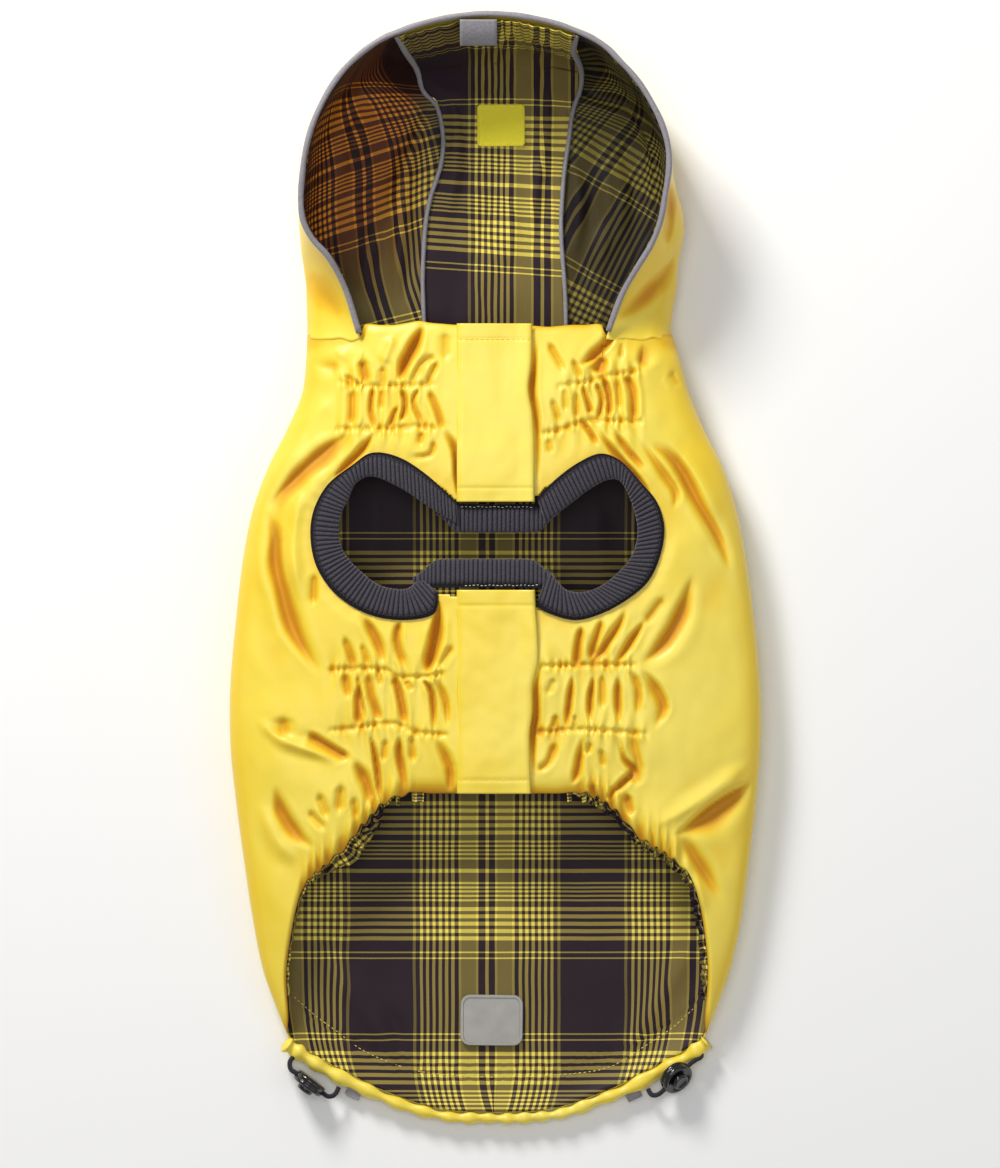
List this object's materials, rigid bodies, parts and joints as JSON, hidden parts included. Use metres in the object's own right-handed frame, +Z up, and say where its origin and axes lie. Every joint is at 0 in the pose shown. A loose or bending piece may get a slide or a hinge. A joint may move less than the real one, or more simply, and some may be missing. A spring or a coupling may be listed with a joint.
{
  "type": "dog raincoat",
  "caption": "Hooded rain coat for a dog, laid open on its back, with a gathered belly side, one rib-bound leg opening, a check lining and a drawcord tail hem.",
  "frame": {"origin": "middle of the coat's box, on the surface it lies on", "axes": "+Z up out of the surface, +Y from the tail hem to the hood's brim, +X across the chest to the coat's left-hand edge as seen from above with the hood up the page"},
  "size_m": [0.2708, 0.5646, 0.0627],
  "materials": {
    "shell_cloth": "coated woven cloth with a soft sheen",
    "check_lining": "woven check, satin sheen",
    "grey_tape": "smooth woven tape",
    "rib_knit": "matt rib knit",
    "loop_tape": "hook and loop tape",
    "clear_rubber": "translucent moulded rubber",
    "gloss_plastic": "gloss",
    "elastic": "braided elastic cord"
  },
  "bodies": {
    "root": {"belly_left": "shell_cloth", "belly_right": "shell_cloth", "placket_upper": "shell_cloth", "placket_lower": "shell_cloth", "back_shell": "shell_cloth", "hem_band": "shell_cloth", "hood_left": "shell_cloth", "hood_right": "shell_cloth", "hood_centre": "shell_cloth", "lining_back": "check_lining", "hood_lining_left": "check_lining", "hood_lining_right": "check_lining", "hood_lining_centre": "check_lining", "piping_rim": "grey_tape", "piping_seam_left": "grey_tape", "piping_seam_right": "grey_tape", "tape_tab_brim": "grey_tape", "tape_tab_left": "grey_tape", "tape_tab_right": "grey_tape", "rib_left": "rib_knit", "rib_right": "rib_knit", "rib_top": "rib_knit", "rib_bottom": "rib_knit", "hook_patch": "loop_tape", "badge": "clear_rubber", "lock_left": "gloss_plastic", "lock_right": "gloss_plastic", "plunger_left": "gloss_plastic", "plunger_right": "gloss_plastic", "cord_left": "elastic", "cord_right": "elastic"}
  },
  "joints": []
}
